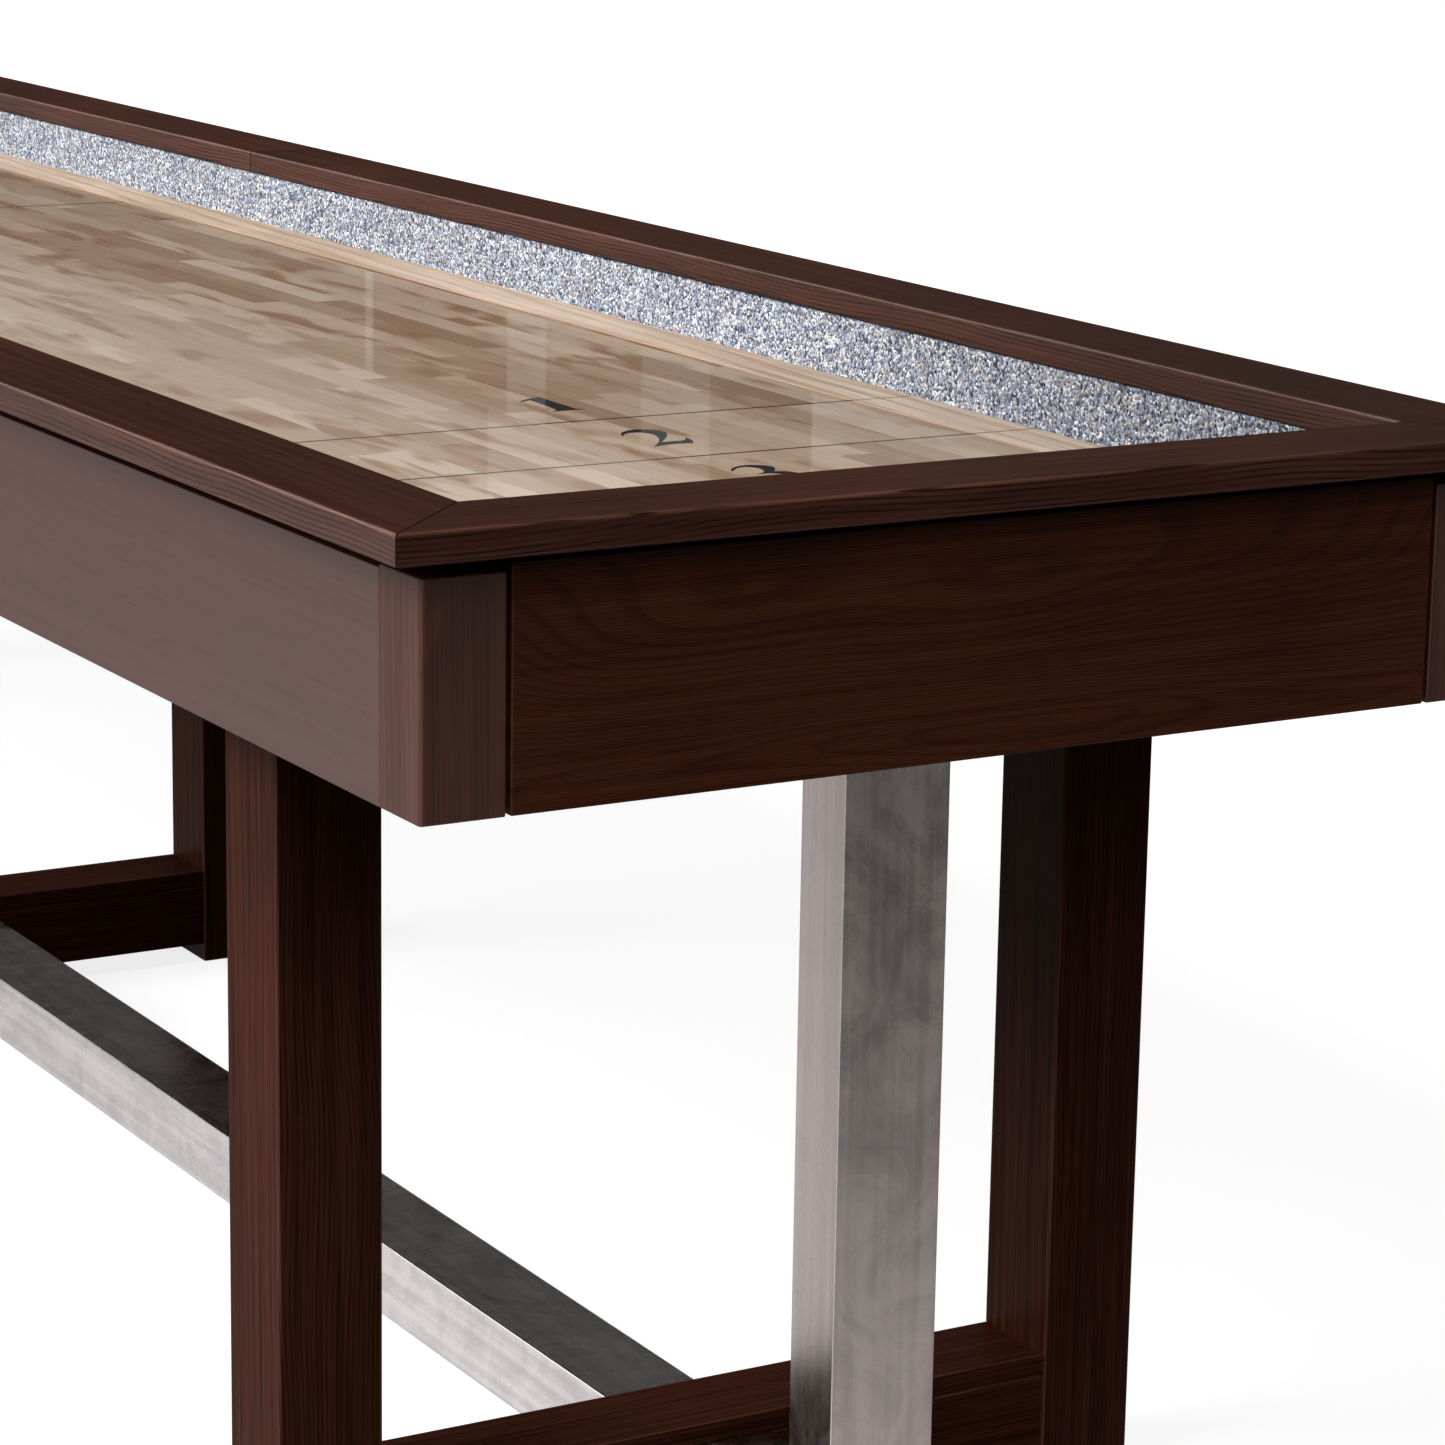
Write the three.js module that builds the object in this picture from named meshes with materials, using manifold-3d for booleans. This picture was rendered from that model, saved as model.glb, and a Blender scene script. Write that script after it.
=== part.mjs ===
// Shuffleboard table, 12 ft: a long cabinet with mitred top rails and carpeted gutters, a laminated
// maple playfield lying on cross bearers, three timber leg frames, and a steel stretcher that runs
// through the crossbars from one steel post to the other.
//
// Frame: millimetres, +X along the length to the right-hand end, +Y to the far side, +Z up, with the
// origin on the floor under the middle of the table.

import * as THREE from 'three';
import { mergeVertices } from 'three/addons/utils/BufferGeometryUtils.js';
import Module from 'manifold-3d';

const wasm = await Module();
wasm.setup();

// ---------------------------------------------------------------- driving dimensions

const LENGTH = 3657.6;
const WIDTH = 812.8;
const HEIGHT = 787.4;
const JOINT_GAP = 0.3;
const CUT_OVERRUN = 1;
const WELD_DISTANCE = 1e-4;

// cabinet
const RAIL_WIDTH = 76.2;
const RAIL_THICK = 19;
const OVERHANG = 28;
const SIDE_REVEAL = 15;
const POST_REVEAL = 12.8;
const END_REVEAL = 8;
const SKIRT_HEIGHT = 152.4;
const APRON_THICK = 22;
const CORNER_ALONG_SIDE = 51;
const CORNER_ALONG_END = 53.5;
const CORNER_ROUND = 3;
const CORNER_ARC_POINTS = 6;
const CORNER_SHADOW_GAP = 3.2;

// gutter
const WALL_SETBACK = 8;
const WALL_THICK = 17.8;
const FLOOR_THICK = 12;
const CARPET_THICK = 4;
const CARPET_TOP_GAP = 1.5;

// playfield
const PLAYFIELD_WIDTH = 508;
const PLAYFIELD_THICK = 76.2;
const PLAYFIELD_END_SETBACK = 209;
const PLAYFIELD_DROP = 42.4;
const EDGE_STRIP_WIDTH = 54;
const FINISH_THICK = 3;

// bearers under the playfield
const BEARER_HEIGHT = 40;
const BEARER_WIDTH = 76.2;
const END_BEARER_WIDTH = 90;

// timber leg frames
const LEG_DEPTH = 76.2;
const LEG_WIDTH = 73;
const LEG_SIDE_SETBACK = 76;
const LEG_END_SETBACK = 325;
const CROSSBAR_DEPTH = 74;
const CROSSBAR_BOTTOM = 18;
const CROSSBAR_TOP = 92;
const GROOVE = 2.4;

// steelwork
const TUBE_WALL = 2.5;
const STRETCHER_WIDTH = 72;
const STRETCHER_HEIGHT = 57;
const STRETCHER_TOP = 77;
const POST_DEPTH = 50.8;
const POST_WIDTH = 76.2;
const POST_END_SETBACK = 132;
const POST_FLOOR_GAP = 2;
const FLANGE_THICK = 6;
const FLANGE_MARGIN = 18;

// screw-in leg levellers
const PAD_RADIUS = 22;
const PAD_HEIGHT = 8;
const STEM_RADIUS = 6;
const STEM_LENGTH = 60;
const LEVELLER_CLEARANCE = 0.5;
const PAD_BORE_MARGIN = 2;
const STEM_BORE_MARGIN = 4;
const ROUND_SEGMENTS = 32;
const TURNED_CHAMFER = 1.5;

// climate adjusters: a bar across the underside of the playfield with a crowning screw in its middle
const CLIMATE_BAR_LENGTH = 420;
const CLIMATE_BAR_WIDTH = 40;
const CLIMATE_BAR_THICK = 10;
const CLIMATE_FOOT_LENGTH = 36;
const CLIMATE_FOOT_HEIGHT = 16;
const SCREW_RADIUS = 5;
const SCREW_HEAD_RADIUS = 10;
const SCREW_HEAD_HEIGHT = 7;
const SCREW_PAD_RADIUS = 9;
const SCREW_PAD_HEIGHT = 4;
const HEX_SIDES = 6;
const WELD_OVERLAP = 1;

// ---------------------------------------------------------------- derived levels and lines

const HALF_LENGTH = LENGTH / 2;
const HALF_WIDTH = WIDTH / 2;
const RAIL_BOTTOM = HEIGHT - RAIL_THICK;
const APRON_BOTTOM = RAIL_BOTTOM - SKIRT_HEIGHT;
const APRON_FACE_X = HALF_LENGTH - OVERHANG;
const APRON_FACE_Y = HALF_WIDTH - OVERHANG;
const APRON_BACK_X = APRON_FACE_X - APRON_THICK;
const APRON_BACK_Y = APRON_FACE_Y - APRON_THICK;
const RAIL_INNER_X = HALF_LENGTH - RAIL_WIDTH;
const RAIL_INNER_Y = HALF_WIDTH - RAIL_WIDTH;
const WALL_FACE_X = RAIL_INNER_X + WALL_SETBACK;
const WALL_FACE_Y = RAIL_INNER_Y + WALL_SETBACK;

const PLAYFIELD_TOP = HEIGHT - PLAYFIELD_DROP;
const PLAYFIELD_BOTTOM = PLAYFIELD_TOP - PLAYFIELD_THICK;
const PLAYFIELD_HALF_LENGTH = HALF_LENGTH - PLAYFIELD_END_SETBACK;
const PLAYFIELD_HALF_WIDTH = PLAYFIELD_WIDTH / 2;
const FIELD_HALF_WIDTH = PLAYFIELD_HALF_WIDTH - EDGE_STRIP_WIDTH;

const BEARER_TOP = PLAYFIELD_BOTTOM - JOINT_GAP;
const BEARER_BOTTOM = BEARER_TOP - BEARER_HEIGHT;
const FRAME_X = HALF_LENGTH - LEG_END_SETBACK - LEG_DEPTH / 2;
const POST_X = HALF_LENGTH - POST_END_SETBACK - POST_DEPTH / 2;
const LEG_Y = HALF_WIDTH - LEG_SIDE_SETBACK - LEG_WIDTH / 2;
const LEG_TOP = BEARER_BOTTOM - JOINT_GAP;
const POST_TOP = BEARER_BOTTOM - JOINT_GAP;
const CLIMATE_X = FRAME_X / 2;

// ---------------------------------------------------------------- materials

function finish(colour, roughness, metalness) {
  return () => new THREE.MeshStandardMaterial({ color: colour, roughness, metalness });
}

const espressoWood = finish('#4a2f28', 0.45, 0);
const panelWood = finish('#5b4038', 0.4, 0);
const bareWood = finish('#b08d63', 0.7, 0);
const mapleCore = finish('#d9bb8f', 0.5, 0);
const mapleEdge = finish('#e2c8a2', 0.45, 0);
const clearFinish = finish('#d8b98c', 0.06, 0);
const carpetPile = finish('#9aa0ad', 0.95, 0);
const brushedSteel = finish('#b9b4b0', 0.3, 1);
const zincSteel = finish('#9c9c9a', 0.4, 1);

// ---------------------------------------------------------------- helpers

const table = new THREE.Group();

function addMesh(name, geometry, material) {
  const mesh = new THREE.Mesh(geometry, material());
  mesh.name = name;
  table.add(mesh);
  return mesh;
}

// A box given by its lowest and highest corner.
function block(low, high) {
  const size = high.map((value, axis) => value - low[axis]);
  const geometry = new THREE.BoxGeometry(...size);
  return geometry.translate(...low.map((value, axis) => value + size[axis] / 2));
}

// A solid between two heights over an outline of [x, y] points.
function slab(outline, bottom, top) {
  const shape = new THREE.Shape(outline.map(([x, y]) => new THREE.Vector2(x, y)));
  const geometry = new THREE.ExtrudeGeometry(shape, { depth: top - bottom, bevelEnabled: false });
  return geometry.translate(0, 0, bottom);
}

// A turned solid about the vertical line through (x, y), from [radius, z] points.
function turned(profile, x, y, segments = ROUND_SEGMENTS) {
  const points = profile.map(([radius, z]) => new THREE.Vector2(radius, z));
  const geometry = new THREE.LatheGeometry(points, segments);
  return geometry.rotateX(Math.PI / 2).translate(x, y, 0);
}

function drum(radius, bottom, top, x, y, segments) {
  return turned([[0, bottom], [radius, bottom], [radius, top], [0, top]], x, y, segments);
}

function toSolid(geometry) {
  const bare = geometry.clone();
  bare.deleteAttribute('normal');
  bare.deleteAttribute('uv');
  const merged = mergeVertices(bare, WELD_DISTANCE);
  return new wasm.Manifold(new wasm.Mesh({
    numProp: 3,
    vertProperties: new Float32Array(merged.attributes.position.array),
    triVerts: new Uint32Array(merged.index.array),
  }));
}

function toGeometry(solid) {
  const mesh = solid.getMesh();
  const geometry = new THREE.BufferGeometry();
  geometry.setAttribute('position', new THREE.BufferAttribute(mesh.vertProperties, 3));
  geometry.setIndex(new THREE.BufferAttribute(mesh.triVerts, 1));
  geometry.computeVertexNormals();
  return geometry;
}

function joined(...pieces) {
  return toGeometry(pieces.map(toSolid).reduce((sum, piece) => sum.add(piece)));
}

function cut(body, ...tools) {
  return toGeometry(tools.map(toSolid).reduce((rest, tool) => rest.subtract(tool), toSolid(body)));
}

const SIDES = [['near', -1], ['far', 1]];
const ENDS = [['left', -1], ['right', 1]];
const FRAMES = [['left', -FRAME_X], ['mid', 0], ['right', FRAME_X]];

// The extent of a piece on one side of the centre, low value first whichever side it is on.
function span(sign, inner, outer) {
  return sign > 0 ? [inner, outer] : [-outer, -inner];
}

// ---------------------------------------------------------------- top rails

// Each long rail is two halves that meet at mid-length. The corners are mitred at 45 degrees.
function addRails() {
  const mitreGap = JOINT_GAP * Math.SQRT2;
  for (const [sideName, side] of SIDES) {
    for (const [endName, end] of ENDS) {
      const outline = [
        [end * JOINT_GAP, side * RAIL_INNER_Y],
        [end * (RAIL_INNER_X - mitreGap), side * RAIL_INNER_Y],
        [end * (HALF_LENGTH - mitreGap), side * HALF_WIDTH],
        [end * JOINT_GAP, side * HALF_WIDTH],
      ];
      addMesh(`side_rail_${sideName}_${endName}`, slab(outline, RAIL_BOTTOM, HEIGHT), espressoWood);
    }
  }
  for (const [endName, end] of ENDS) {
    const outline = [
      [end * HALF_LENGTH, -HALF_WIDTH],
      [end * HALF_LENGTH, HALF_WIDTH],
      [end * RAIL_INNER_X, RAIL_INNER_Y],
      [end * RAIL_INNER_X, -RAIL_INNER_Y],
    ];
    addMesh(`end_rail_${endName}`, slab(outline, RAIL_BOTTOM, HEIGHT), espressoWood);
  }
}

// ---------------------------------------------------------------- aprons and corner posts

// The aprons stop short of the rails, so that a dark line runs round the table under them.
function addAprons() {
  for (const [sideName, side] of SIDES) {
    for (const [endName, end] of ENDS) {
      const [x0, x1] = span(end, JOINT_GAP, APRON_FACE_X - CORNER_ALONG_SIDE - JOINT_GAP);
      const [y0, y1] = span(side, APRON_BACK_Y, APRON_FACE_Y);
      const panel = block([x0, y0, APRON_BOTTOM], [x1, y1, RAIL_BOTTOM - SIDE_REVEAL]);
      addMesh(`side_apron_${sideName}_${endName}`, panel, panelWood);
    }
  }
  for (const [endName, end] of ENDS) {
    const halfSpan = APRON_FACE_Y - CORNER_ALONG_END - CORNER_SHADOW_GAP;
    const [x0, x1] = span(end, APRON_BACK_X, APRON_FACE_X);
    const panel = block([x0, -halfSpan, APRON_BOTTOM], [x1, halfSpan, RAIL_BOTTOM - END_REVEAL]);
    addMesh(`end_apron_${endName}`, panel, panelWood);
  }
}

// An angle-shaped corner post with a rounded outer edge. Its two wings are as thick as the aprons.
function cornerOutline() {
  const outline = new THREE.Shape();
  outline.moveTo(APRON_FACE_X - CORNER_ALONG_SIDE, APRON_BACK_Y);
  outline.lineTo(APRON_BACK_X, APRON_BACK_Y);
  outline.lineTo(APRON_BACK_X, APRON_FACE_Y - CORNER_ALONG_END);
  outline.lineTo(APRON_FACE_X, APRON_FACE_Y - CORNER_ALONG_END);
  outline.lineTo(APRON_FACE_X, APRON_FACE_Y - CORNER_ROUND);
  outline.absarc(APRON_FACE_X - CORNER_ROUND, APRON_FACE_Y - CORNER_ROUND, CORNER_ROUND, 0, Math.PI / 2);
  outline.lineTo(APRON_FACE_X - CORNER_ALONG_SIDE, APRON_FACE_Y);
  outline.closePath();
  return outline;
}

function addCornerPosts() {
  for (const [sideName, side] of SIDES) {
    for (const [endName, end] of ENDS) {
      const corners = cornerOutline().getPoints(CORNER_ARC_POINTS);
      const outline = corners.map((point) => [end * point.x, side * point.y]);
      const post = slab(outline, APRON_BOTTOM, RAIL_BOTTOM - POST_REVEAL);
      addMesh(`corner_post_${sideName}_${endName}`, post, panelWood);
    }
  }
}

// ---------------------------------------------------------------- gutter box and carpet

function addGutter() {
  const wallBottom = BEARER_TOP + JOINT_GAP;
  const wallTop = RAIL_BOTTOM - JOINT_GAP;
  const floorTop = wallBottom + FLOOR_THICK;
  const wallBackX = WALL_FACE_X + WALL_THICK;
  const wallBackY = WALL_FACE_Y + WALL_THICK;
  const innerX = PLAYFIELD_HALF_LENGTH + JOINT_GAP;
  const innerY = PLAYFIELD_HALF_WIDTH + JOINT_GAP;
  const floorEndX = WALL_FACE_X - JOINT_GAP;
  const floorEndY = WALL_FACE_Y - JOINT_GAP;
  const carpetBottom = floorTop + JOINT_GAP;
  const carpetFloorTop = carpetBottom + CARPET_THICK;
  const carpetTop = RAIL_BOTTOM - CARPET_TOP_GAP;
  const pileX = WALL_FACE_X - CARPET_THICK;
  const pileY = WALL_FACE_Y - CARPET_THICK;

  for (const [sideName, side] of SIDES) {
    const [w0, w1] = span(side, WALL_FACE_Y, wallBackY);
    const wall = block([-wallBackX, w0, wallBottom], [wallBackX, w1, wallTop]);
    addMesh(`gutter_wall_${sideName}`, wall, bareWood);

    const [f0, f1] = span(side, innerY, floorEndY);
    const floor = block([-floorEndX, f0, wallBottom], [floorEndX, f1, floorTop]);
    addMesh(`gutter_floor_${sideName}`, floor, bareWood);

    const [c0, c1] = span(side, pileY, floorEndY);
    const carpet = joined(
      block([-floorEndX, f0, carpetBottom], [floorEndX, f1, carpetFloorTop]),
      block([-floorEndX, c0, carpetBottom], [floorEndX, c1, carpetTop]),
    );
    addMesh(`gutter_carpet_${sideName}`, carpet, carpetPile);
  }
  for (const [endName, end] of ENDS) {
    const wallHalf = WALL_FACE_Y - JOINT_GAP;
    const [w0, w1] = span(end, WALL_FACE_X, wallBackX);
    const wall = block([w0, -wallHalf, wallBottom], [w1, wallHalf, wallTop]);
    addMesh(`gutter_wall_${endName}_end`, wall, bareWood);

    const floorHalf = PLAYFIELD_HALF_WIDTH;
    const [f0, f1] = span(end, innerX, floorEndX);
    const floor = block([f0, -floorHalf, wallBottom], [f1, floorHalf, floorTop]);
    addMesh(`gutter_floor_${endName}_end`, floor, bareWood);

    const pileHalf = pileY - JOINT_GAP;
    const overSideCarpet = carpetFloorTop + JOINT_GAP;
    const [c0, c1] = span(end, pileX, floorEndX);
    const carpet = joined(
      block([f0, -floorHalf, carpetBottom], [f1, floorHalf, carpetFloorTop]),
      block([c0, -floorHalf, carpetBottom], [c1, floorHalf, carpetTop]),
      block([c0, -pileHalf, overSideCarpet], [c1, pileHalf, carpetTop]),
    );
    addMesh(`gutter_carpet_${endName}_end`, carpet, carpetPile);
  }
}

// ---------------------------------------------------------------- playfield

function addPlayfield() {
  const coreTop = PLAYFIELD_TOP - FINISH_THICK - JOINT_GAP;
  const core = block(
    [-PLAYFIELD_HALF_LENGTH, -FIELD_HALF_WIDTH, PLAYFIELD_BOTTOM],
    [PLAYFIELD_HALF_LENGTH, FIELD_HALF_WIDTH, coreTop],
  );
  addMesh('playfield_core', core, mapleCore);

  const clearCoat = block(
    [-PLAYFIELD_HALF_LENGTH, -FIELD_HALF_WIDTH, PLAYFIELD_TOP - FINISH_THICK],
    [PLAYFIELD_HALF_LENGTH, FIELD_HALF_WIDTH, PLAYFIELD_TOP],
  );
  addMesh('playfield_finish', clearCoat, clearFinish);

  for (const [sideName, side] of SIDES) {
    const [y0, y1] = span(side, FIELD_HALF_WIDTH + JOINT_GAP, PLAYFIELD_HALF_WIDTH);
    const strip = block(
      [-PLAYFIELD_HALF_LENGTH, y0, PLAYFIELD_BOTTOM],
      [PLAYFIELD_HALF_LENGTH, y1, PLAYFIELD_TOP],
    );
    addMesh(`playfield_edge_${sideName}`, strip, mapleEdge);
  }
}

// ---------------------------------------------------------------- bearers

function addBearers() {
  const halfSpan = APRON_BACK_Y - JOINT_GAP;
  const seats = FRAMES.map(([name, x]) => [name, x, BEARER_WIDTH]);
  for (const [endName, end] of ENDS) {
    seats.push([`${endName}_end`, end * POST_X, END_BEARER_WIDTH]);
  }
  for (const [name, x, width] of seats) {
    const bearer = block([x - width / 2, -halfSpan, BEARER_BOTTOM], [x + width / 2, halfSpan, BEARER_TOP]);
    addMesh(`bearer_${name}`, bearer, bareWood);
  }
}

// ---------------------------------------------------------------- leg frames and levellers

// The bore in the foot of a leg: a counterbore that hides the pad, and a deeper hole for the stem.
function legFoot(x, y) {
  const padBore = PAD_RADIUS + PAD_BORE_MARGIN;
  const padDepth = PAD_HEIGHT + LEVELLER_CLEARANCE;
  const stemBore = STEM_RADIUS + LEVELLER_CLEARANCE;
  const stemDepth = PAD_HEIGHT + STEM_LENGTH + STEM_BORE_MARGIN;
  const profile = [
    [0, -CUT_OVERRUN],
    [padBore, -CUT_OVERRUN],
    [padBore, padDepth],
    [stemBore, padDepth],
    [stemBore, stemDepth],
    [0, stemDepth],
  ];
  return turned(profile, x, y);
}

function addLegs() {
  for (const [frameName, x] of FRAMES) {
    for (const [sideName, side] of SIDES) {
      const y = side * LEG_Y;
      const body = block(
        [x - LEG_DEPTH / 2, y - LEG_WIDTH / 2, 0],
        [x + LEG_DEPTH / 2, y + LEG_WIDTH / 2, LEG_TOP],
      );
      addMesh(`leg_${frameName}_${sideName}`, cut(body, legFoot(x, y)), espressoWood);
    }
  }
}

// A pad and a threaded stem that screws up into the leg, shown fully screwed in.
function addLevellers() {
  const chamfer = TURNED_CHAMFER;
  const stemTop = PAD_HEIGHT + STEM_LENGTH;
  const profile = [
    [0, 0],
    [PAD_RADIUS - chamfer, 0],
    [PAD_RADIUS, chamfer],
    [PAD_RADIUS, PAD_HEIGHT - chamfer],
    [PAD_RADIUS - chamfer, PAD_HEIGHT],
    [STEM_RADIUS, PAD_HEIGHT],
    [STEM_RADIUS, stemTop - chamfer],
    [STEM_RADIUS - chamfer, stemTop],
    [0, stemTop],
  ];
  for (const [frameName, x] of FRAMES) {
    for (const [sideName, side] of SIDES) {
      addMesh(`leveller_${frameName}_${sideName}`, turned(profile, x, side * LEG_Y), zincSteel);
    }
  }
}

// Each lower crossbar bridges over the stretcher, and a groove runs along both faces at the height of
// the stretcher's top.
function addCrossbars() {
  const halfSpan = LEG_Y - LEG_WIDTH / 2 - JOINT_GAP;
  const notchHalf = STRETCHER_WIDTH / 2 + JOINT_GAP;
  const notchTop = STRETCHER_TOP + JOINT_GAP;
  const reach = CROSSBAR_DEPTH / 2;
  for (const [frameName, x] of FRAMES) {
    const body = block([x - reach, -halfSpan, CROSSBAR_BOTTOM], [x + reach, halfSpan, CROSSBAR_TOP]);
    const notch = block([x - LEG_DEPTH, -notchHalf, 0], [x + LEG_DEPTH, notchHalf, notchTop]);
    const grooves = [-1, 1].map((face) => {
      const [g0, g1] = [face * (reach - GROOVE), face * LEG_DEPTH].sort((a, b) => a - b);
      const low = [x + g0, -LEG_Y, notchTop - GROOVE / 2];
      return block(low, [x + g1, LEG_Y, notchTop + GROOVE / 2]);
    });
    addMesh(`crossbar_${frameName}`, cut(body, notch, ...grooves), espressoWood);
  }
}

// ---------------------------------------------------------------- steel posts and stretcher

// The stretcher is two lengths of tube that butt together inside the middle crossbar.
function addStretcher() {
  const halfWidth = STRETCHER_WIDTH / 2;
  const bottom = STRETCHER_TOP - STRETCHER_HEIGHT;
  const bore = block(
    [-LENGTH, -halfWidth + TUBE_WALL, bottom + TUBE_WALL],
    [LENGTH, halfWidth - TUBE_WALL, STRETCHER_TOP - TUBE_WALL],
  );
  for (const [endName, end] of ENDS) {
    const [x0, x1] = span(end, JOINT_GAP, POST_X - POST_DEPTH / 2 - JOINT_GAP);
    const outer = block([x0, -halfWidth, bottom], [x1, halfWidth, STRETCHER_TOP]);
    addMesh(`steel_stretcher_${endName}`, cut(outer, bore), brushedSteel);
  }
}

// A square-cornered tube with a welded foot cap and a flange that is screwed up under the end bearer.
function addPosts() {
  for (const [endName, end] of ENDS) {
    const x = end * POST_X;
    const halfDepth = POST_DEPTH / 2;
    const halfWidth = POST_WIDTH / 2;
    const tube = block([x - halfDepth, -halfWidth, POST_FLOOR_GAP], [x + halfDepth, halfWidth, POST_TOP]);
    const flange = block(
      [x - halfDepth - FLANGE_MARGIN, -halfWidth - FLANGE_MARGIN, POST_TOP - FLANGE_THICK],
      [x + halfDepth + FLANGE_MARGIN, halfWidth + FLANGE_MARGIN, POST_TOP],
    );
    const bore = block(
      [x - halfDepth + TUBE_WALL, -halfWidth + TUBE_WALL, POST_FLOOR_GAP + TUBE_WALL],
      [x + halfDepth - TUBE_WALL, halfWidth - TUBE_WALL, POST_TOP + CUT_OVERRUN],
    );
    addMesh(`steel_post_${endName}`, cut(joined(tube, flange), bore), brushedSteel);
  }
}

// ---------------------------------------------------------------- climate adjusters

// The bar's two feet are screwed to the playfield. Turning the screw in its middle crowns the maple.
function addClimateAdjusters() {
  const feetTop = PLAYFIELD_BOTTOM - JOINT_GAP;
  const barTop = feetTop - CLIMATE_FOOT_HEIGHT;
  const barBottom = barTop - CLIMATE_BAR_THICK;
  const halfLength = CLIMATE_BAR_LENGTH / 2;
  const halfWidth = CLIMATE_BAR_WIDTH / 2;
  const padTop = feetTop - LEVELLER_CLEARANCE;
  const headTop = barBottom - LEVELLER_CLEARANCE;
  for (const [endName, end] of ENDS) {
    const x = end * CLIMATE_X;
    const bar = joined(
      block([x - halfWidth, -halfLength, barBottom], [x + halfWidth, halfLength, barTop]),
      ...SIDES.map(([, side]) => {
        const [y0, y1] = span(side, halfLength - CLIMATE_FOOT_LENGTH, halfLength);
        return block([x - halfWidth, y0, barBottom], [x + halfWidth, y1, feetTop]);
      }),
    );
    const holeRadius = SCREW_RADIUS + LEVELLER_CLEARANCE;
    const hole = drum(holeRadius, barBottom - CUT_OVERRUN, barTop + CUT_OVERRUN, x, 0);
    addMesh(`climate_bar_${endName}`, cut(bar, hole), zincSteel);

    const screw = joined(
      drum(SCREW_HEAD_RADIUS, headTop - SCREW_HEAD_HEIGHT, headTop, x, 0, HEX_SIDES),
      drum(SCREW_RADIUS, headTop - WELD_OVERLAP, padTop - WELD_OVERLAP, x, 0),
      drum(SCREW_PAD_RADIUS, padTop - SCREW_PAD_HEIGHT, padTop, x, 0),
    );
    addMesh(`climate_screw_${endName}`, screw, zincSteel);
  }
}

// ---------------------------------------------------------------- assembly

addRails();
addAprons();
addCornerPosts();
addGutter();
addPlayfield();
addBearers();
addLegs();
addLevellers();
addCrossbars();
addStretcher();
addPosts();
addClimateAdjusters();

export default table;
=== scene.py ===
"""Looks of the shuffleboard table: eased timber, brushed steel, glossy maple and speckled carpet."""
import math

import bmesh
import bpy
from mathutils import Matrix, Vector, noise


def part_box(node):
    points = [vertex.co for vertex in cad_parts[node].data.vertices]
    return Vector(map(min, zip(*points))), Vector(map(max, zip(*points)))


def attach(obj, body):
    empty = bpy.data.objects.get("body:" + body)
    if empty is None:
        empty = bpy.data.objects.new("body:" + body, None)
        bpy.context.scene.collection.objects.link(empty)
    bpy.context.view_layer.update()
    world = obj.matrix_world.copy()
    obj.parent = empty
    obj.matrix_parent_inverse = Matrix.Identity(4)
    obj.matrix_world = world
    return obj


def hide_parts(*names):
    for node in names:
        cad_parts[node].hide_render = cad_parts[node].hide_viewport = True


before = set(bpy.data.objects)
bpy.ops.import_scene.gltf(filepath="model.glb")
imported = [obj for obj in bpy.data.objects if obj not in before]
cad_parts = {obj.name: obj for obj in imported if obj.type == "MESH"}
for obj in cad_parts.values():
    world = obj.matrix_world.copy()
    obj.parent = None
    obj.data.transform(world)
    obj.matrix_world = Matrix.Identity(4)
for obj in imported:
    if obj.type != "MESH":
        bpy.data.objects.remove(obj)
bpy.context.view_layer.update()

MM = 0.001
TABLE = "table"
SIDES = (("near", -1), ("far", 1))
ENDS = (("left", -1), ("right", 1))
FRAMES = ("left", "mid", "right")


# ---------------------------------------------------------------- node graphs

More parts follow.
